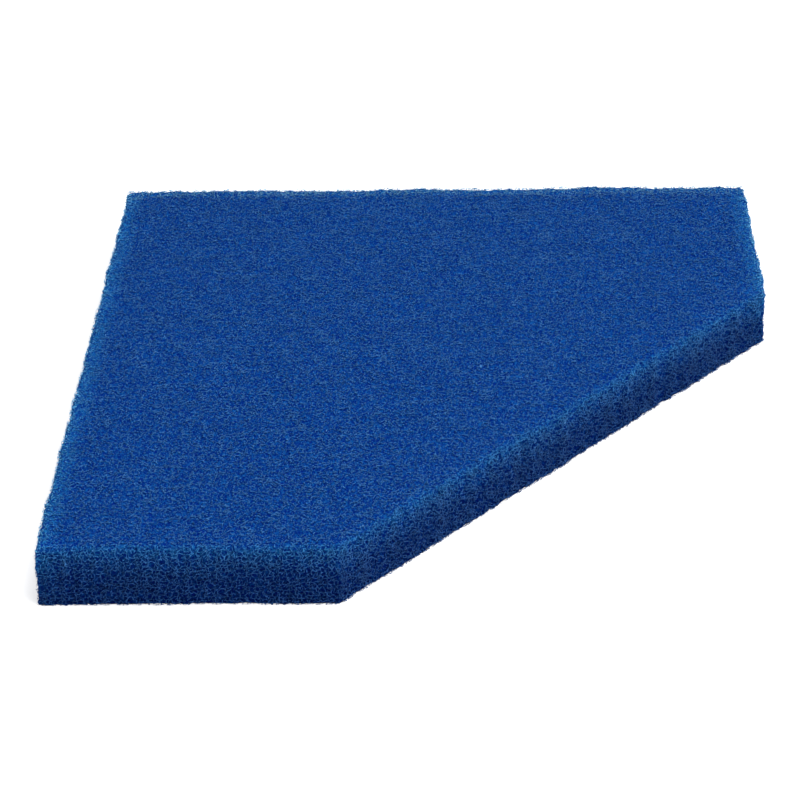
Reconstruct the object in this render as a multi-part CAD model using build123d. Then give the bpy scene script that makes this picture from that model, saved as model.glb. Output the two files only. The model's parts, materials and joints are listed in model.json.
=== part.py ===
from build123d import *
import os

# A filter sponge: one flat slab of open-cell polyurethane foam, cut from sheet stock.
# Seen from above it is a rectangle that has lost its front right corner to a long straight cut,
# so that it drops into a wedge-shaped tray or chamber. It has no frame, no seam and no fastener.
#
# Frame, in millimetres: +X runs to the right, +Y to the back and +Z up. The origin is the centre
# of the overall rectangle, on the face that the slab lies on.

# Driving dimensions
slab_width = 230.0  # overall, left to right
slab_depth = 260.0  # overall, front to back
sheet_thickness = 20.0  # of the foam sheet it is cut from
front_edge_kept = 90.0  # what the diagonal cut leaves of the front edge
right_edge_kept = 90.0  # what the diagonal cut leaves of the right edge
corner_radius = 2.0  # upright corners, where the blade turns and the foam gives
rim_radius = 0.8  # arrises between the two faces and the cut sides

foam_blue = Color(0.10, 0.29, 0.59)


def plan_corners():
    """The five corners of the outline, counter-clockwise from the front left."""
    left = -slab_width / 2
    right = slab_width / 2
    front = -slab_depth / 2
    back = slab_depth / 2
    return [
        (left, front),
        (left + front_edge_kept, front),
        (right, back - right_edge_kept),
        (right, back),
        (left, back),
    ]


def make_foam_slab():
    """The sheet cut to its outline, with its corners and rims a little worn down."""
    with BuildPart() as slab:
        with BuildSketch():
            with BuildLine():
                Polyline(*plan_corners(), close=True)
            make_face()
        extrude(amount=sheet_thickness)
        fillet(slab.edges().filter_by(Axis.Z), radius=corner_radius)
        flat_faces = slab.faces().filter_by(Axis.Z)
        fillet(flat_faces.edges(), radius=rim_radius)
    return slab.part


foam_slab = make_foam_slab()
foam_slab.label = "foam_slab"
foam_slab.color = foam_blue

os.makedirs("parts", exist_ok=True)
export_step(foam_slab, "parts/foam_slab.step")
print(f"foam_slab: {len(foam_slab.solids())} solid, {foam_slab.volume / 1000:.1f} cm3")
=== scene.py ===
# %% [markdown]
# # A slab of filter foam
#
# The object is one piece of coarse blue filter foam, cut from a sheet. Such foam is nearly all air: a
# network of fine struts is left where the bubbles of the liquid met, and the films between them are burnt
# away. This lesson builds that network as real geometry, because at arm's length the open cells are all
# there is to see.

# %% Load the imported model
import json
import math
from collections import Counter

import bmesh
import bpy
import numpy as np
from mathutils import Euler, Matrix, Vector


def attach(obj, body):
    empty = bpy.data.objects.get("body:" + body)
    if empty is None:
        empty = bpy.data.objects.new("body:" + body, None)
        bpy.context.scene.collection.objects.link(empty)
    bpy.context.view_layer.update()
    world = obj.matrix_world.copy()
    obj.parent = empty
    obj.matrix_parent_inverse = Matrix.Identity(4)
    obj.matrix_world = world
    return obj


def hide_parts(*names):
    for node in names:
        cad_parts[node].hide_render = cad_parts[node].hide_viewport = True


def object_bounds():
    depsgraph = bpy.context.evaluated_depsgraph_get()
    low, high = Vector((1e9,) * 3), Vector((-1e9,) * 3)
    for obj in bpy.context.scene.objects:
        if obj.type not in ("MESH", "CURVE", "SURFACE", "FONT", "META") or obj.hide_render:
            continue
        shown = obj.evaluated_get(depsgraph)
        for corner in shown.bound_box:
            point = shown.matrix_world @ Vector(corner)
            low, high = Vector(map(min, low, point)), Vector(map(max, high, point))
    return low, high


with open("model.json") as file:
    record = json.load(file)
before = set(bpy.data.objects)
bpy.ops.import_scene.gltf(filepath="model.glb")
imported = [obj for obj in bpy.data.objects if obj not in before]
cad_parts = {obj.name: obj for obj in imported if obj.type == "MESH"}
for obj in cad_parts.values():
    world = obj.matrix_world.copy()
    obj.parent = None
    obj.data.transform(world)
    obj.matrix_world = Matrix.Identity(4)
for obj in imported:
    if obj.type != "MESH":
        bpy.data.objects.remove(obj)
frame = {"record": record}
cad_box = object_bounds()
print("slab in the frame, metres:", cad_box)

# %% [markdown]
# ## The slab's faces
#
# The frame's record names each flat face by a point on it and its outward normal. Those planes are all
# that is needed to shape foam to the slab's outline. Lengths are in millimetres until a mesh is finished.

# %% Read the faces
MM = 0.001  # metres
faces = {m["name"]: (Vector(m["pos_m"]) / MM, Vector(m["axis"])) for m in frame["record"]["mounts"]}
SIDES = ["front_side", "diagonal_side", "right_side", "back_side", "left_side"]
# the sides along whose rims light coming through is painted
LIT_SIDES = SIDES[2:]  # right, back and left, where most light comes through
low, high = (Vector(corner) / MM for corner in cad_box)


def depth_below(points, name):
    """How far in from one face each point lies."""
    point, normal = faces[name]
    return (np.array(point) - points) @ np.array(normal)


def depth_from_sides(points, names=SIDES):
    """How far in from the nearest side each point lies."""
    return np.min([depth_below(points, name) for name in names], 0)


for name, (point, normal) in faces.items():
    print(name, tuple(round(c, 1) for c in point), tuple(round(c, 3) for c in normal))

# %% [markdown]
# ## One cell
#
# Bubbles that crowd together settle into shapes near a truncated octahedron, which packs space with
# little skin. An eight-sided ball that has lost a third of its reach at each of its six corners is that
# shape. Planes cut the corners off here, because they leave points and faces in the same order at each
# run, and a bevel doesn't. Shrunk a little, the cell leaves a wall between itself and its neighbours, and
# each of its windows is a tube through that wall. Three tubes run along each edge of the stack, and what
# they leave between them is a three-sided strut. Each tube is shared by two cells, so a cell is given
# only those on its upper half. The stack is tilted, so that no face of the slab runs along a layer of
# cells.

# %% Model the cell
CELL = 1.55  # side of the cube that holds two cells
STRUT = 0.115  # from a strut's middle line to each of its three arrises
BALL = 0.75 * CELL  # radius of the eight-sided ball
EDGE = CELL / (2 * math.sqrt(2))  # of the truncated octahedron, a third of the ball's
SHRINK = 1 - STRUT / (1.5 * EDGE)  # an edge lies one and a half times its length from the middle
TILT = Euler((math.radians(22), math.radians(10), math.radians(13))).to_matrix()


def make_ball():
    bm = bmesh.new()
    bmesh.ops.create_uvsphere(bm, u_segments=4, v_segments=2, radius=BALL)
    for way in [sign * axis for axis in Matrix.Identity(3) for sign in (1, -1)]:
        whole = [*bm.verts, *bm.edges, *bm.faces]
        made = bmesh.ops.bisect_plane(
            bm, geom=whole, plane_co=way * BALL * 2 / 3, plane_no=way, clear_outer=True
        )["geom_cut"]
        ring = [e for e in made if isinstance(e, bmesh.types.BMEdge)]
        bmesh.ops.edgeloop_fill(bm, edges=ring, mat_nr=0, use_smooth=False)
    bmesh.ops.recalc_face_normals(bm, faces=bm.faces)
    bmesh.ops.rotate(bm, verts=bm.verts, matrix=TILT)
    return bm


def open_windows(bm):
    """Turns the upper windows into tubes, each up to where the next cell's tubes begin."""
    bmesh.ops.scale(bm, verts=bm.verts, vec=(SHRINK, SHRINK, SHRINK))
    lower = [f for f in bm.faces if f.normal.z < 0]
    bmesh.ops.delete(bm, geom=lower, context="FACES")
    lids = bmesh.ops.extrude_discrete_faces(bm, faces=bm.faces)["faces"]
    for lid in lids:
        bmesh.ops.translate(bm, verts=lid.verts, vec=lid.calc_center_median() * 2 * (1 / SHRINK - 1))
    bmesh.ops.delete(bm, geom=lids, context="FACES_ONLY")
    bmesh.ops.reverse_faces(bm, faces=bm.faces)


def to_mesh(bm, name):
    mesh = bpy.data.meshes.new(name)
    bm.to_mesh(mesh)
    bm.free()
    return mesh


closed_cell = to_mesh(make_ball(), "closed_cell")
ball = make_ball()
open_windows(ball)
open_cell = to_mesh(ball, "open_cell")
print("closed cell:", len(closed_cell.polygons), "faces; open cell:", len(open_cell.polygons), "faces")

# %% [markdown]
# ## Hubs
#
# The struts meet at hubs, four at each. In a regular stack every hub lies on a grid of quarter cells, so
# a hub is named by three whole numbers, and any point of the mesh finds its hub by rounding. A hub can
# then be moved, thickened or dropped with all the points around it, so the struts keep their section.

# %% Find hubs by rounding
QUARTER = CELL / 4
TILT_ROWS = np.array(TILT)


def hub_steps(points):
    """The hub nearest to each point, counted in quarter cells along the stack's own axes."""
    return np.rint(points @ TILT_ROWS / QUARTER)


def stack_place(steps):
    """Where the regular stack has a hub, or the middle of a cell."""
    return steps * QUARTER @ TILT_ROWS.T


def read_points(mesh):
    points = np.empty(3 * len(mesh.vertices))
    mesh.vertices.foreach_get("co", points)
    return points.reshape(-1, 3)


def write_points(mesh, points):
    mesh.vertices.foreach_set("co", points.astype(np.float32).ravel())


cell_hubs = hub_steps(read_points(closed_cell))
print(len(cell_hubs), "hubs round a cell")

# %% [markdown]
# ## Disorder
#
# Real cells differ in size and shape. A few sine waves that run in random directions push every hub
# aside: long waves bend the rows, middle ones stretch and squeeze groups of cells, and those about as
# short as a cell put each hub out of line with its neighbours. Other waves give each hub its own
# thickness, and pick the hubs that are painted as glints.

# %% Random waves
SEED = 7
rng = np.random.default_rng(SEED)
WAVES = 9  # in each bundle


class Waves:
    """A bundle of sine waves, each with its own way to run, start and push."""

    def __init__(self, length, height=1.0):
        ways = rng.normal(size=(WAVES, 3))
        self.turns = 2 * math.pi / length * ways / np.linalg.norm(ways, axis=1, keepdims=True)
        self.starts = rng.uniform(0, 2 * math.pi, WAVES)
        self.pushes = height * math.sqrt(2 / WAVES) * rng.normal(size=(WAVES, 3))

    def push(self, points):
        """How far each point is pushed, along all three axes."""
        return np.sin(points @ self.turns.T + self.starts) @ self.pushes

    def tone(self, points):
        """One number for each point, mostly between -1 and 1."""
        return np.sin(points @ self.turns.T + self.starts).sum(1) * math.sqrt(0.5 / WAVES)


drift_waves = [Waves(17, 0.2), Waves(6, 0.12), Waves(2.7, 0.2), Waves(1.5, 0.14)]
thick_waves = Waves(1.4)
# picks the hubs that are painted as glints
glint_tone_waves = Waves(0.9)


def drift(points):
    return points + sum(waves.push(points) for waves in drift_waves)


TRIALS = 20000
trial = rng.uniform(tuple(low), tuple(high), (TRIALS, 3))
print("hubs move up to", round(np.abs(drift(trial) - trial).max(), 2), "mm")

# %% [markdown]
# ## The stack of cells
#
# The cells stack like the atoms of iron: one at each corner of a cube and one in its middle. All that lie
# in the slab or just round it are listed here, and later steps pick those that they need.

# %% Stack the cells
DRIFT_MOST = 2.2  # more than any hub moves
SPARE_CUBES = 3  # more than reach the slab's corners
BORDER = 1.5 * CELL  # how far a cell's middle can lie from one of its own hubs, once moved


def stack_cells():
    spans = ((low.x, high.x), (low.y, high.y), (low.z, high.z))
    corners = np.array([(x, y, z) for x in spans[0] for y in spans[1] for z in spans[2]])
    reach = np.abs(corners @ TILT_ROWS).max(0) / CELL + SPARE_CUBES
    ranges = [np.arange(-math.ceil(r), math.ceil(r) + 1) for r in reach]
    cubes = 4 * np.stack(np.meshgrid(*ranges), -1).reshape(-1, 3)
    cells = np.concatenate([cubes, cubes + 2])
    places = stack_place(cells)
    inside = np.minimum(depth_below(places, "top_face"), depth_below(places, "bottom_face")) > -DRIFT_MOST
    return cells[inside & (depth_from_sides(places) > -DRIFT_MOST)]


all_cells = stack_cells()
cell_places = drift(stack_place(all_cells))
print(len(all_cells), "cells in and round the slab")

# %% [markdown]
# ## Which hubs are made
#
# Only the skin of the slab can be seen, so only hubs near its top and sides are made. Along the rims,
# where the eye sees in from two sides, the skin is deeper: the solid heart of the slab is rounded there.
# It is deeper at the front and the diagonal too, where the camera comes near enough to show whole cells,
# and thinner at the other three sides. Each hub belongs to one piece: a strip of the top or one of the
# sides.

# %% Share out the hubs
SKIN = 0.30
DEEPER = dict(zip(SIDES, (0.45, 0.45, -0.15, -0.15, -0.15)))  # how much more, at each side
HEART_ROUND = 1.0  # radius of the heart's upper rims
STRAY = 0.55  # how far outside the slab a strut can start
TOP_STRIPS = 13
NO_PIECE = -1
piece_names = [f"foam_top_{i + 1}" for i in range(TOP_STRIPS)] + [f"foam_{name}" for name in SIDES]


def from_set_back(points):
    """Depth from the sides, each set back by what is deeper there."""
    return np.min([depth_below(points, name) - more for name, more in DEEPER.items()], 0)


def heart_depth(points):
    """Depth below a slab whose upper rims are as round as the heart's."""
    top = depth_below(points, "top_face")
    side = from_set_back(points)
    rounded = HEART_ROUND - np.hypot(HEART_ROUND - top, HEART_ROUND - side)
    return np.where(np.maximum(top, side) < HEART_ROUND, rounded, np.minimum(top, side))


def owner(points):
    """The number of the piece that a hub belongs to."""
    depths = np.array([depth_below(points, name) for name in ["top_face", *SIDES]])
    strip = (points[:, 1] - low.y) / (high.y - low.y) * TOP_STRIPS
    nearest = depths.argmin(0)
    number = np.where(nearest == 0, strip.clip(0, TOP_STRIPS - 1), TOP_STRIPS - 1 + nearest)
    outermost = np.minimum(depths.min(0), depth_below(points, "bottom_face"))
    made = (heart_depth(points) < SKIN) & (outermost > -STRAY)
    return np.where(made, number.astype(int), NO_PIECE)


# %% Find the hubs of the skin
HUB_NAME = (1, 1e4, 1e8)  # makes one number of a hub's three
skin_cells = all_cells[heart_depth(cell_places) < SKIN + BORDER]
corners = (skin_cells[:, None] + cell_hubs).reshape(-1, 3)
hub_names, first, where = np.unique(corners @ HUB_NAME, return_index=True, return_inverse=True)
corner_owners = owner(drift(stack_place(corners[first])))[where].reshape(len(skin_cells), -1)
print(len(skin_cells), "cells in the skin,", len(hub_names), "hubs")

# %% [markdown]
# ## Growing a piece
#
# The cells round a piece's hubs are put down and joined. Each point then moves with its hub. A hub that
# the piece doesn't own shrinks to a point, so a strut that leaves the piece ends as a spike: at the
# border with the next piece two such spikes cross and make one strut with a waist, and inwards they run
# down into the heart.

# %% Grow a piece
WELD = 0.01  # points nearer to each other than this are joined
THICKNESS = (0.75, 1.3)  # the least and the most, as a share of STRUT


def put_down(mesh, cells):
    """Puts a copy of the mesh at each cell's place in the stack."""
    bm = bmesh.new()
    at = Vector()
    for place in map(Vector, stack_place(cells)):
        mesh.transform(Matrix.Translation(place - at))
        at = place
        bm.from_mesh(mesh)
    mesh.transform(Matrix.Translation(-at))
    return bm


def add_values(mesh, name, values):
    mesh.attributes.new(name, "FLOAT", "POINT").data.foreach_set("value", values.astype(np.float32))


def move_with_hubs(mesh, number):
    """Moves every point with its hub, and selects the faces that touch none of the piece's hubs."""
    points = read_points(mesh)
    home = stack_place(hub_steps(points))
    place = drift(home)
    kept = owner(place) == number
    thickness = np.interp(thick_waves.tone(home), (-1, 1), THICKNESS) * kept
    write_points(mesh, place + (points - home) * thickness[:, None])
    # which hubs are painted as glints
    add_values(mesh, "glint_tone", glint_tone_waves.tone(home))
    starts = np.empty(len(mesh.polygons), int)
    mesh.polygons.foreach_get("loop_start", starts)
    corners = np.empty(len(mesh.loops), int)
    mesh.loops.foreach_get("vertex_index", corners)
    mesh.polygons.foreach_set("select", ~np.logical_or.reduceat(kept[corners], starts))


def grow(number):
    """The piece's part of the network, whole and not yet cut, as a mesh and a bmesh to cut it in."""
    bm = put_down(open_cell, skin_cells[(corner_owners == number).any(1)])
    bmesh.ops.remove_doubles(bm, verts=bm.verts, dist=WELD)
    mesh = to_mesh(bm, piece_names[number])
    move_with_hubs(mesh, number)
    bm = bmesh.new()
    bm.from_mesh(mesh)
    bmesh.ops.delete(bm, geom=[f for f in bm.faces if f.select], context="FACES")
    bmesh.ops.remove_doubles(bm, verts=bm.verts, dist=WELD / 100)
    return mesh, bm


# %% [markdown]
# ## The blades
#
# The slab is cut from a sheet by a blade, so its faces are planes, and the same planes cut the network
# here. Foam gives way at a rim or an upright corner and leaves it a little soft. A cut at half the angle
# between the two faces gives that.

# %% Name the blades
RIM = 0.6  # what the soft rims take off each face
CORNER = 0.6  # what the soft upright corners take off each side


def between(name, other, back):
    """The plane that takes off the edge between two faces, so far back on each."""
    (p, n), (q, m) = faces[name], faces[other]
    along = n.cross(m)
    edge = (p.dot(n) * m.cross(along) + q.dot(m) * along.cross(n)) / along.length_squared
    outwards = (m - n * n.dot(m)).normalized()
    return (edge - outwards * back, (n + m).normalized())


def set_back(plane, by):
    point, normal = plane
    return (point - normal * by, normal)


side_blades = [faces[name] for name in SIDES]
side_blades += [between(name, SIDES[i - 1], CORNER) for i, name in enumerate(SIDES)]
blades = [faces["top_face"], faces["bottom_face"], *side_blades]
blades += [between(name, "top_face", RIM) for name in SIDES]
blades += [between(name, "bottom_face", RIM / 2) for name in SIDES]
print(len(blades), "blades")

# %% [markdown]
# ## Cutting
#
# A blade cuts each strut that it meets and leaves a hole there, which a face closes. Where a blade runs
# along the struts of a window, it leaves one ring inside another. Closing both would put a lid on the
# window, so what lies between the two rings is filled instead. Last, whatever a grazing blade has left
# open is closed, and stray edges and points are dropped. A set would hand its parts to an operator in
# another order at each run, and the fill would differ a little, so lists keep their order here.

# %% Close the holes of a cut
def in_order(parts):
    """A list without repeats, in the same order at each run."""
    return list(dict.fromkeys(parts))


def close(bm, edges):
    """Closes the holes that a cut has opened, and leaves chains of edges that make no ring."""
    while True:
        meets = Counter(v for e in edges for v in e.verts)
        ringed = [e for e in edges if all(meets[v] == 2 for v in e.verts)]
        if len(ringed) == len(edges):
            break
        edges = ringed
    return bmesh.ops.edgeloop_fill(bm, edges=edges, mat_nr=0, use_smooth=False)["faces"] if edges else []


# %% Keep the windows open
LID = 0.25  # square millimetres, more than one strut's cut end


def find_lids(ends):
    """Each lid is a closed ring together with the rings that lie inside it."""
    places = np.array([f.calc_center_bounds() for f in ends])
    lids = []
    taken = set()
    for outer in [f for f in ends if f.calc_area() > LID]:
        gaps = np.linalg.norm(places - np.array(outer.calc_center_bounds()), axis=1)
        near = [ends[i] for i in np.flatnonzero(gaps < CELL)]
        free = [f for f in near if f != outer and f not in taken]
        inner = [f for f in free if bmesh.geometry.intersect_face_point(outer, f.verts[0].co)]
        if inner and outer not in taken:
            lids.append([outer, *inner])
            taken.update(lids[-1])
    return lids


def open_lids(bm, ends):
    """Fills only what lies between the rings of each lid. A lid that can't be filled so stays."""
    lids = find_lids(ends)
    if not lids:
        return
    rings = [in_order(e for f in lid for e in f.edges) for lid in lids]
    way = lids[0][0].normal.copy()
    bmesh.ops.delete(bm, geom=[f for lid in lids for f in lid], context="FACES_ONLY")
    borders = in_order(e for ring in rings for e in ring)
    made = bmesh.ops.triangle_fill(bm, edges=borders, use_beauty=True, normal=way)["geom"]
    edges = {part for part in made if isinstance(part, bmesh.types.BMEdge)}
    faulty = {v for e in edges.union(*rings) if not e.is_contiguous for v in e.verts}
    failed = [ring for ring in rings if any(v in faulty for e in ring for v in e.verts)]
    shut = in_order(e for ring in failed for e in ring)
    if shut:
        spare = {f for e in shut for v in e.verts for f in v.link_faces if f in made}
        bmesh.ops.delete(bm, geom=list(spare), context="FACES_ONLY")
        bmesh.ops.delete(bm, geom=[e for e in edges if e.is_wire], context="EDGES")
        bmesh.ops.edgeloop_fill(bm, edges=shut, mat_nr=0, use_smooth=False)
    print(f"  {len(lids)} lids opened" + (", some left shut" if shut else ""))


# %% Cut by a plane
SNAP = 1e-6
NUDGE = 1e-4  # points nearer than this to a blade are moved off it, to its inner side


def cut(bm, plane):
    """Takes off all beyond the plane, and returns the edges of the cut."""
    point, normal = plane
    beyond = []
    for v in bm.verts:
        past = (v.co - point).dot(normal)
        if past > NUDGE:
            beyond.append(v)
        elif past > -NUDGE:
            v.co -= 2 * NUDGE * normal
    if not beyond:
        return []
    touched = in_order(f for v in beyond for f in v.link_faces)
    edges = in_order(e for f in touched for e in f.edges)
    verts = in_order(v for f in touched for v in f.verts)
    made = bmesh.ops.bisect_plane(
        bm, geom=[*verts, *edges, *touched], plane_co=point, plane_no=normal, dist=SNAP, clear_outer=True
    )["geom_cut"]
    return [e for e in made if isinstance(e, bmesh.types.BMEdge)]


def drop_strays(bm):
    """Deletes the edges and points that belong to no face."""
    bmesh.ops.delete(bm, geom=[e for e in bm.edges if e.is_wire], context="EDGES")
    bmesh.ops.delete(bm, geom=[v for v in bm.verts if not v.link_faces], context="VERTS")


# %% [markdown]
# ## Finishing a piece
#
# No cut through foam is quite flat, so three bundles of gentle waves leave the faces a little wavy. Each
# point also keeps three lengths that the finish needs to paint light near the rims and shade deeper
# down, where light gets in and is lost: how far it lies from the nearest side, from the nearest of the
# three sides that face the light, and below the surface.

# %% Finish a piece
cut_waves = [Waves(34, 0.16), Waves(4.5, 0.13), Waves(1.9, 0.11)]


def rumple(points):
    return points + sum(waves.push(points) for waves in cut_waves)


def make_piece(mesh):
    points = read_points(mesh)
    add_values(mesh, "from_side", depth_from_sides(points))
    add_values(mesh, "from_lit_side", depth_from_sides(points, LIT_SIDES))
    add_values(mesh, "depth", np.minimum(depth_from_sides(points), depth_below(points, "top_face")))
    write_points(mesh, rumple(points) * MM)
    mesh.polygons.foreach_set("use_smooth", np.ones(len(mesh.polygons), bool))
    mesh.update()
    piece = bpy.data.objects.new(mesh.name, mesh)
    bpy.context.collection.objects.link(piece)
    print(f"{mesh.name}: {len(mesh.loops) - 2 * len(mesh.polygons)} triangles")
    return piece


# %% [markdown]
# ## The network, piece by piece
#
# Each piece is grown, cut by every blade that it reaches, closed and finished. Most of this script's time
# goes here, because nearly two million triangles are made.

# %% Make the network
foam = []
for number, name in enumerate(piece_names):
    mesh, bm = grow(number)
    reach = read_points(mesh)
    for point, normal in blades:
        if ((reach - np.array(point)) @ np.array(normal)).max() > -NUDGE:
            open_lids(bm, close(bm, cut(bm, (point, normal))))
    drop_strays(bm)
    close(bm, [e for e in bm.edges if e.is_boundary])
    print(name, "has", sum(not e.is_contiguous for e in bm.edges), "open edges")
    bm.to_mesh(mesh)
    bm.free()
    foam.append(make_piece(mesh))

# %% [markdown]
# ## The heart
#
# Behind the struts that are modelled the eye meets more of them, deeper and in shade. That depth is one
# solid whose finish draws the deeper network in painted shade. It starts as a sheet of small squares, cut
# to the outline and bent down at its rims, and its edge is drawn down to make the walls. Its surface is
# bumpy, so its outline between the struts is uneven too.

# %% Make a sheet and its walls
HEART = 0.42  # below the slab's faces


def make_sheet(z, square):
    """A level sheet of small squares, as large as the slab's box."""
    bm = bmesh.new()
    wide, deep = (high - low).xy
    bmesh.ops.create_grid(
        bm,
        x_segments=round(wide / square),
        y_segments=round(deep / square),
        size=0.5,
        matrix=Matrix.LocRotScale(Vector((0, 0, z)), None, Vector((wide, deep, 1))),
    )
    return bm


def bend_rims(bm):
    """Rounds a sheet down at its rims."""
    for v in bm.verts:
        side = from_set_back(np.array(v.co)) - HEART
        in_round = max(HEART_ROUND - side, 0)
        v.co.z -= HEART_ROUND - math.sqrt(max(HEART_ROUND**2 - in_round**2, 0))


def draw_walls(bm, floor, steps):
    """Draws a sheet's edge to the floor in steps, and closes it there."""
    rim = [e for e in bm.edges if e.is_boundary]
    for step in range(steps):
        made = bmesh.ops.extrude_edge_only(bm, edges=rim)["geom"]
        for v in made:
            if isinstance(v, bmesh.types.BMVert):
                v.co.z += (floor - v.co.z) / (steps - step)
        rim = [e for e in made if isinstance(e, bmesh.types.BMEdge) and e.is_boundary]
    bmesh.ops.edgeloop_fill(bm, edges=rim, mat_nr=0, use_smooth=False)
    bmesh.ops.recalc_face_normals(bm, faces=bm.faces)


# %% Model the heart
SQUARE = 1.3  # side of the sheet's squares
HEART_FLOOR = 1.1  # above the slab's bottom
WALL_STEPS = 13
heart_blades = [set_back(faces[name], HEART + more) for name, more in DEEPER.items()]
heart_blades += [set_back(blade, HEART) for blade in side_blades[len(SIDES) :]]
heart_waves = [Waves(3.3, 0.1), Waves(1.9, 0.1)]

bm = make_sheet(high.z - HEART, SQUARE)
for plane in heart_blades:
    cut(bm, plane)
bend_rims(bm)
draw_walls(bm, HEART_FLOOR, WALL_STEPS)
print("heart:", sum(not e.is_manifold for e in bm.edges), "open edges")
mesh = to_mesh(bm, "foam_heart")
points = read_points(mesh)
write_points(mesh, points + sum(waves.push(points) for waves in heart_waves))
heart = make_piece(mesh)

# %% [markdown]
# ## The underside
#
# The slab lies on its bottom face, which is seldom seen. There the cut cells are made as shallow cups:
# whole cells are cut at one level, each cut is filled, and the filled shapes are poked inwards. The rims
# between the cups are the struts, and the cups are the openings between them, painted dark as shade. The
# sheet of cups is made in strips, because filling many rings at once is slow, and each strip's edge is
# drawn up into the slab to make a closed plate. The plate's walls wear the heart's finish and its painted
# shade, since all that shows of them is the depth between the lowest struts.

# %% Cut the cells at one level
CUP_LEVEL = 0.1
CELL_REACH = 0.7 * CELL  # how far up or down a cell can reach from its middle


def make_cups(front, back):
    """A flat sheet of the cells' cut outlines, each one face, between two places along the slab."""
    near_level = np.abs(cell_places[:, 2] - CUP_LEVEL) < CELL_REACH
    near_strip = (cell_places[:, 1] > front - BORDER) & (cell_places[:, 1] < back + BORDER)
    mesh = to_mesh(put_down(closed_cell, all_cells[near_level & near_strip]), "cells")
    write_points(mesh, drift(stack_place(hub_steps(read_points(mesh)))))
    bm = bmesh.new()
    bm.from_mesh(mesh)
    bpy.data.meshes.remove(mesh)
    section = bmesh.ops.bisect_plane(
        bm,
        geom=[*bm.verts, *bm.edges, *bm.faces],
        plane_co=(0, 0, CUP_LEVEL),
        plane_no=(0, 0, 1),
        dist=SNAP,
        clear_inner=True,
        clear_outer=True,
    )["geom_cut"]
    close(bm, [e for e in section if isinstance(e, bmesh.types.BMEdge)])
    bmesh.ops.remove_doubles(bm, verts=bm.verts, dist=WELD)
    for plane in heart_blades:
        cut(bm, plane)
    cut(bm, (Vector((0, front, 0)), Vector((0, -1, 0))))
    cut(bm, (Vector((0, back, 0)), Vector((0, 1, 0))))
    drop_strays(bm)
    return bm


def part_corners(bm):
    """Gives each of two holes that share a corner its own."""
    meets = Counter(v for e in bm.edges if e.is_boundary for v in e.verts)
    for v in [v for v, count in meets.items() if count > 2]:
        bmesh.utils.vert_separate(v, [e for e in v.link_edges if e.is_boundary][:1])


# %% Model the underside
CUP_DEPTH = 0.9  # for a cup of radius 1
PLATE = 1.15  # top of the plates
BOTTOM_STRIPS = 5
OVERHANG = 1  # by which the strips reach past the slab at the front and the back

underside = []
strip_ends = np.linspace(low.y - OVERHANG, high.y + OVERHANG, BOTTOM_STRIPS + 1)
for number in range(BOTTOM_STRIPS):
    bm = make_cups(strip_ends[number], strip_ends[number + 1])
    part_corners(bm)
    bmesh.ops.recalc_face_normals(bm, faces=bm.faces)
    if sum(f.normal.z for f in bm.faces) > 0:
        bmesh.ops.reverse_faces(bm, faces=bm.faces)
    cup = bm.verts.layers.float.new("cup")
    cups = bmesh.ops.poke(bm, faces=bm.faces, center_mode="MEAN")
    for v in cups["verts"]:
        v[cup] = 1
        v.co.z += CUP_DEPTH * sum(e.calc_length() for e in v.link_edges) / len(v.link_edges)
    draw_walls(bm, PLATE, steps=1)
    for f in set(bm.faces) - set(cups["faces"]):
        f.material_index = 1
    print(len(cups["verts"]), "cups,", sum(not e.is_manifold for e in bm.edges), "open edges")
    underside.append(make_piece(to_mesh(bm, f"foam_bottom_{number + 1}")))

# %% [markdown]
# ## A kit for finishes
#
# A finish is one Principled shader with nodes in front of it, and three of them share the same few moves:
# read a value that the mesh keeps, turn it into a share with a ramp, and mix two colours by that share.
# Each move is a short function here, so that a finish reads as a list of what it does. All patterns are
# laid out by the object's own coordinates, so they stay on the foam from every side.

# %% Start a kit for finishes
class Finish:
    """A material, and short ways to add nodes to it."""

    def __init__(self, name):
        self.material = bpy.data.materials.new(name)
        self.material.use_nodes = True
        self.tree = self.material.node_tree
        self.shader = self.tree.nodes["Principled BSDF"]
        self.place = self.add("ShaderNodeTexCoord").outputs["Object"]

    def add(self, kind, **settings):
        node = self.tree.nodes.new(kind)
        for name, value in settings.items():
            setattr(node, name, value)
        return node

    def link(self, source, target):
        self.tree.links.new(source, target)

    def value_of(self, attribute):
        """A number that each point of the mesh keeps."""
        return self.add("ShaderNodeAttribute", attribute_name=attribute).outputs["Fac"]

    def along(self, axis):
        """Metres along X, Y or Z."""
        parts = self.add("ShaderNodeSeparateXYZ")
        self.link(self.place, parts.inputs[0])
        return parts.outputs[axis]

    def height(self):
        return self.along("Z")

    def ramp(self, value, start, end, to_start=0.0, to_end=1.0, kind="SMOOTHSTEP"):
        """Goes from one number to another while the value goes from start to end."""
        node = self.add("ShaderNodeMapRange", interpolation_type=kind)
        for socket, number in zip(node.inputs[1:5], (start, end, to_start, to_end)):
            socket.default_value = number
        self.link(value, node.inputs["Value"])
        return node.outputs["Result"]

    def noise(self, size, detail=2.0, output="Fac"):
        """Cloudy spots, about so many millimetres wide."""
        node = self.add("ShaderNodeTexNoise")
        node.inputs["Scale"].default_value = 1 / (size * MM)
        node.inputs["Detail"].default_value = detail
        self.link(self.place, node.inputs["Vector"])
        return node.outputs[output]

    def mix(self, how_much, first, second, blend="MIX"):
        node = self.add("ShaderNodeMix", data_type="RGBA", blend_type=blend)
        wanted = ((node.inputs[0], how_much), (node.inputs[6], first), (node.inputs[7], second))
        for socket, value in wanted:
            if isinstance(value, (float, tuple)):
                socket.default_value = value
            else:
                self.link(value, socket)
        return node.outputs[2]

    def bump(self, height, strength, distance):
        node = self.add("ShaderNodeBump")
        node.inputs["Strength"].default_value = strength
        node.inputs["Distance"].default_value = distance * MM
        self.link(height, node.inputs["Height"])
        self.link(node.outputs["Normal"], self.shader.inputs["Normal"])


def grey(level):
    return (level, level, level, 1)
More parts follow.
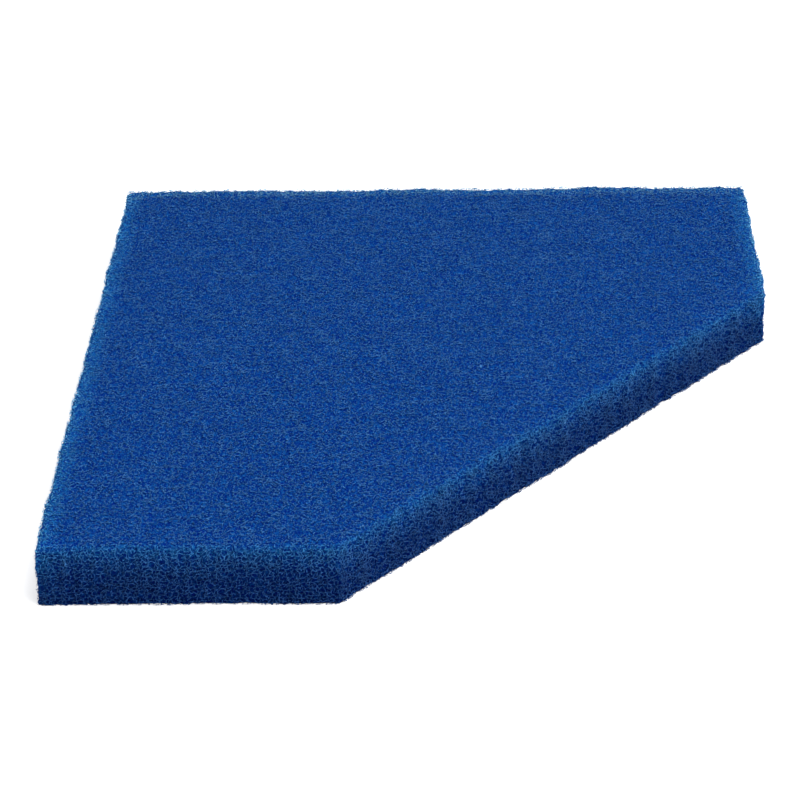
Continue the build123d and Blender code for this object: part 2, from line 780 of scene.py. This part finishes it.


# %% [markdown]
# ## Shade by place
#
# Light soaks into foam, and here both of its effects are painted: painted light makes the rims that light
# comes through paler, and painted shade makes the sides darker the lower one looks. All of the foam's
# finishes share the shade, and the struts and the heart share the light.

# %% Shade by place
LOW_SHADE = (0.40, 0.45, 0.60, 1)  # what is left of a colour at the foot of a side
LOW_DOWN = (0.007, 0.0175)  # metres up, from where to where that shade fades out
TOP_LEVEL = 0.0195  # metres up, just under the top face
HIGH_UP = (0.0155, TOP_LEVEL)
# SIDE_DEPTH bounds the sides' painted shade and their extra roughness
SIDE_DEPTH = (1.3, 2.4)  # from where to where a side's own looks fade out, millimetres in
LIT_DEPTH = (0.3, 7.5)  # from where to where the rims that face the light grow less pale
RIM_DEPTH = (0.3, 2.5)  # the same at every rim
NOISE_SPAN = (0.3, 0.7)  # where nearly all values of a noise lie


def rim_light_share(finish):
    """Where light coming through the rims is painted: 1 on the upper rims that face the light, less on
    the others, and 0 further in.
    """
    lit = finish.ramp(finish.value_of("from_lit_side"), *LIT_DEPTH, 1.0, 0.0, "LINEAR")
    lit = finish.mix(1.0, lit, finish.ramp(finish.height(), 0.004, TOP_LEVEL, 0.4, 1.0), "MULTIPLY")
    other = finish.ramp(finish.value_of("from_side"), *RIM_DEPTH, 0.6, 0.0)
    other = finish.mix(1.0, other, finish.ramp(finish.height(), 0.0145, TOP_LEVEL), "MULTIPLY")
    return finish.mix(1.0, lit, other, "LIGHTEN")


def shade_by_place(finish, colour):
    """Painted shade, darker and bluer down the sides, and a faint cloudy tone."""
    lower = finish.ramp(finish.height(), *LOW_DOWN, 1.0, 0.04)
    on_side = finish.ramp(finish.value_of("from_side"), *SIDE_DEPTH, 1.0, 0.0)
    lower = finish.mix(1.0, lower, on_side, "MULTIPLY")
    # painted shade lower down the sides
    colour = finish.mix(lower, colour, finish.mix(1.0, colour, LOW_SHADE, "MULTIPLY"))
    cloud = finish.ramp(finish.noise(9), *NOISE_SPAN, 0.95, 1.05)
    return finish.mix(1.0, colour, cloud, "MULTIPLY")


# %% [markdown]
# ## The finish of the struts
# The foam is dyed right through, so the struts are one blue. Near the rims, where light comes in from two
# sides, that light is painted: the blue is paler and a little greener, most of all on the left, the back
# and the right, where the outermost cells are painted as lit through. Light also soaks in from above, and
# its lack is painted as shade: the sides are darker lower down, and so are struts that lie behind others.
# A few hubs are painted glints, in a paler blue. The gloss is satin, duller on the sides, and tinted,
# because light that glances off one strut has mostly been through others. The back rim is painted
# palest, as light from behind it.

# %% Strut material
STRUT_BLUE = (0.038, 0.176, 0.485, 1)
# painted light: the paler, greener blue of the rims that light comes through
RIM_LIGHT_BLUE = (0.036, 0.270, 0.64, 1)
# painted glints: the paler blue of a few hubs
GLINT_BLUE = (0.22, 0.50, 0.90, 1)
# painted light: the outermost cells of the sides that face the light, and the back rim with light behind
# it, are painted pale
FRINGE_LIGHT = (0.16, 0.52, 0.86, 1)  # the outermost cells, which let the light through
BACK_FRINGE_LIGHT = (0.30, 0.60, 0.66, 1)
SHEEN = (0.4, 0.75, 1.0, 1)
# painted shade: struts that lie behind others are painted darker
BEHIND_SHADE = (0.15, 0.4, 0.6, 1)  # what is left of the colour of a strut that lies behind others
# painted glints: hubs whose wave is as high as this are painted paler
GLINT_LEVELS = (0.9, 1.7)  # hubs whose fleck wave is as high as this turn paler
FRINGE_LIGHT_DEPTH = (0.3, 2.8)  # from where to where the fringe fades out, millimetres in
BACK_LIGHT_RIM = (0.118, 0.131)  # from where to where the back rim grows paler, metres back
BACK_LIGHT_SHARE = 0.6  # of BACK_FRINGE_LIGHT in the palest part of the back rim
BEHIND_SHADE_DEPTH = 0.45  # millimetres below the surface
ROUGHNESS = (0.28, 0.5)  # the least and the most
SIDE_DULLNESS = 0.3  # more roughness on the sides

blue = Finish("blue_struts")
# painted light near the rims
colour = blue.mix(rim_light_share(blue), STRUT_BLUE, RIM_LIGHT_BLUE)
high_up = blue.ramp(blue.height(), *HIGH_UP)
# painted light from behind, along the back rim
back_light_mask = blue.ramp(blue.along("Y"), *BACK_LIGHT_RIM, 0.0, BACK_LIGHT_SHARE)
colour = blue.mix(blue.mix(1.0, back_light_mask, high_up, "MULTIPLY"), colour, BACK_FRINGE_LIGHT)
# painted light through the outermost cells of the sides that face the light
outermost = blue.ramp(blue.value_of("from_lit_side"), *FRINGE_LIGHT_DEPTH, 1.0, 0.0)
colour = blue.mix(blue.mix(1.0, outermost, high_up, "MULTIPLY"), colour, FRINGE_LIGHT)
# painted glints on a few hubs
colour = blue.mix(blue.ramp(blue.value_of("glint_tone"), *GLINT_LEVELS), colour, GLINT_BLUE)
# painted shade on struts deeper below the surface
behind = blue.mix(1.0, colour, BEHIND_SHADE, "MULTIPLY")
colour = blue.mix(blue.ramp(blue.value_of("depth"), 0.0, BEHIND_SHADE_DEPTH), colour, behind)
blue.link(shade_by_place(blue, colour), blue.shader.inputs["Base Color"])
dull = blue.ramp(blue.value_of("from_side"), *SIDE_DEPTH, SIDE_DULLNESS, 0.0)
roughness = blue.mix(1.0, blue.ramp(blue.noise(0.6), *NOISE_SPAN, *ROUGHNESS), dull, "ADD")
blue.link(roughness, blue.shader.inputs["Roughness"])
blue.bump(blue.noise(0.12), 0.2, 0.02)
blue.shader.inputs["Specular IOR Level"].default_value = 0.5
blue.shader.inputs["Specular Tint"].default_value = SHEEN
print(blue.material.name, "has", len(blue.tree.nodes), "nodes")

# %% [markdown]
# ## The finish of the heart
#
# The heart draws the struts that lie deeper: the borders between random cells are such a network, in a
# blue painted darker than the struts in front as shade, and the openings between them are painted darker
# still, as the shade in the depth. Near the rims the heart is painted brighter, as light that comes
# through. A noise bends the borders, and another lets some of them sink away into the painted shade.

# %% Heart material
# painted shade: the deeper struts and the openings between them in darker blues
SHADED_DEEP_STRUT = (0.005, 0.075, 0.30, 1)
SHADED_HOLE = (0.001, 0.016, 0.18, 1)
# painted light: how much brighter the heart is painted near the rims
RIM_LIGHT_GAIN = (3.0, 2.2, 1.4, 1)  # how much brighter the heart is near the rims
DEEP_CELL = 1.05  # millimetres across
BEND = 0.7  # how far the borders are bent, millimetres
# HOLE_RIM and SINKING place the painted shade of the openings and of the borders that sink into it
HOLE_RIM = (0.04, 0.22)  # from a strut's edge to where the opening is darkest, in cells
SINKING = (0.35, 0.6)  # noise values between which a border comes up out of the dark
DEEP_ROUGHNESS = (0.7, 0.9)

deep = Finish("deep_network")
bend = deep.add("ShaderNodeVectorMath", operation="MULTIPLY_ADD")
bend.inputs[1].default_value = (BEND * MM, BEND * MM, BEND * MM)
deep.link(deep.noise(0.9, 1.0, "Color"), bend.inputs[0])
deep.link(deep.place, bend.inputs[2])
borders = deep.add("ShaderNodeTexVoronoi", feature="DISTANCE_TO_EDGE")
borders.inputs["Scale"].default_value = 1 / (DEEP_CELL * MM)
deep.link(bend.outputs[0], borders.inputs["Vector"])
# painted shade: the openings between the deeper struts are darkest in their middles
hole = deep.ramp(borders.outputs["Distance"], *HOLE_RIM)
colour = deep.mix(hole, SHADED_DEEP_STRUT, SHADED_HOLE)
# painted shade swallows some of the borders
colour = deep.mix(deep.ramp(deep.noise(1.3, 1.0), *SINKING, 0.25, 1.0), SHADED_HOLE, colour)
# painted light near the rims
colour = deep.mix(rim_light_share(deep), colour, deep.mix(1.0, colour, RIM_LIGHT_GAIN, "MULTIPLY"))
deep.link(shade_by_place(deep, colour), deep.shader.inputs["Base Color"])
roughness = deep.ramp(deep.noise(1.0), *NOISE_SPAN, *DEEP_ROUGHNESS)
deep.link(roughness, deep.shader.inputs["Roughness"])
deep.bump(hole, 0.6, -0.3)
deep.shader.inputs["Specular IOR Level"].default_value = 0.0
print(deep.material.name, "has", len(deep.tree.nodes), "nodes")

# %% [markdown]
# ## The finish of the underside
#
# The struts underneath are the same blue, and the openings between them are painted dark, as shade. Each
# cup of the mesh keeps a number that is 0 on its rim and 1 in its depth, so a ramp on that number draws
# both, and the struts follow the mesh.

# %% Underside material
# CUP_RIM spans the cups' painted shade
CUP_RIM = (0.10, 0.32)  # from a strut's edge to where the cup is darkest, as a share of the cup
CUP_ROUGHNESS = (0.35, 0.55)

under = Finish("blue_cups")
hole = under.ramp(under.value_of("cup"), *CUP_RIM)
# painted shade darkens the depth of each cup
colour = under.mix(hole, STRUT_BLUE, SHADED_HOLE)
under.link(shade_by_place(under, colour), under.shader.inputs["Base Color"])
roughness = under.ramp(under.noise(0.6), *NOISE_SPAN, *CUP_ROUGHNESS)
under.link(roughness, under.shader.inputs["Roughness"])
under.bump(under.noise(0.4), 0.3, 0.05)
under.shader.inputs["Specular IOR Level"].default_value = 0.1
print(under.material.name, "has", len(under.tree.nodes), "nodes")

# %% [markdown]
# ## One slab again
#
# All these pieces are one slab of foam. So each rides the model's root body and stands in for the same
# CAD solid, which is hidden.

# %% Give each piece its finish and its place in the model
for piece in foam:
    piece.data.materials.append(blue.material)
heart.data.materials.append(deep.material)
for piece in underside:
    piece.data.materials.append(under.material)
    piece.data.materials.append(deep.material)
for piece in [*foam, heart, *underside]:
    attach(piece, "root")
    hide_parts("foam_slab")
print(len(foam) + 1 + len(underside), "pieces stand in for the slab")

# %% [markdown]
# ## The floor
#
# The slab lies on a plain pale floor. A glow that only the camera sees lifts the floor to nearly white,
# and adds no light to the foam. The slab's soft shadow stays on it.

# %% Lay the floor
FLOOR_SIZE = 6
FLOOR_GLOW = 0.52

bpy.ops.mesh.primitive_plane_add(size=FLOOR_SIZE, location=(0, 0, 0))
floor = bpy.context.object
floor.name = "floor"

pale = Finish("pale_floor")
pale.shader.inputs["Base Color"].default_value = grey(0.8)
pale.shader.inputs["Roughness"].default_value = 0.9
pale.shader.inputs["Specular IOR Level"].default_value = 0.0
glow = pale.add("ShaderNodeEmission")
seen = pale.add("ShaderNodeLightPath").outputs["Is Camera Ray"]
both = pale.add("ShaderNodeAddShader")
pale.link(pale.ramp(seen, 0.0, 1.0, 0.0, FLOOR_GLOW, "LINEAR"), glow.inputs["Strength"])
pale.link(pale.shader.outputs[0], both.inputs[0])
pale.link(glow.outputs[0], both.inputs[1])
pale.link(both.outputs[0], pale.tree.nodes["Material Output"].inputs["Surface"])
floor.data.materials.append(pale.material)

# %% [markdown]
# ## The light
#
# One large soft lamp hangs above, a little to the front and right, and an even world fills the shadows.
# The camera sees the world as white, though it gives less light than that.

# %% Hang the light
WORLD_LIGHT = 0.55

world = bpy.data.worlds.new("studio")
bpy.context.scene.world = world
world.use_nodes = True
nodes = world.node_tree.nodes
seen = nodes.new("ShaderNodeLightPath").outputs["Is Camera Ray"]
strength = nodes.new("ShaderNodeMapRange")
strength.inputs["To Min"].default_value = WORLD_LIGHT
world.node_tree.links.new(seen, strength.inputs["Value"])
world.node_tree.links.new(strength.outputs["Result"], nodes["Background"].inputs["Strength"])
nodes["Background"].inputs["Color"].default_value = grey(1)

lamp = bpy.data.lights.new("softbox", "AREA")
lamp.energy = 50
lamp.size = 1.6
softbox = bpy.data.objects.new("softbox", lamp)
softbox.location = (0.9, -0.5, 2.0)
softbox.rotation_euler = (-softbox.location).to_track_quat("-Z", "Y").to_euler()
bpy.context.collection.objects.link(softbox)

# %% [markdown]
# ## The camera
#
# The camera looks down at the slab through a long lens, from the photograph's angle. Its place, turn and
# lens were found by matching the slab's corners and rims to where the photograph shows them.

# %% Set up the camera
cam = bpy.data.cameras.new("camera")
cam.sensor_width = 36
cam.lens = 127.5
camera = bpy.data.objects.new("camera", cam)
camera.location = (0.0173, -0.8414, 0.4473)
camera.rotation_euler = (math.radians(61.979), math.radians(1.128), math.radians(1.292))
bpy.context.collection.objects.link(camera)
bpy.context.scene.camera = camera
bpy.context.scene.view_settings.view_transform = "Standard"

# %% [markdown]
# ## The size
# ## The spare cells
# Last, the two spare cells are removed. The foam's box differs from the CAD slab's by the foam's
# unevenness, which is under a millimetre.

# %% Remove the spare cells
for spare in (open_cell, closed_cell):
    bpy.data.meshes.remove(spare)
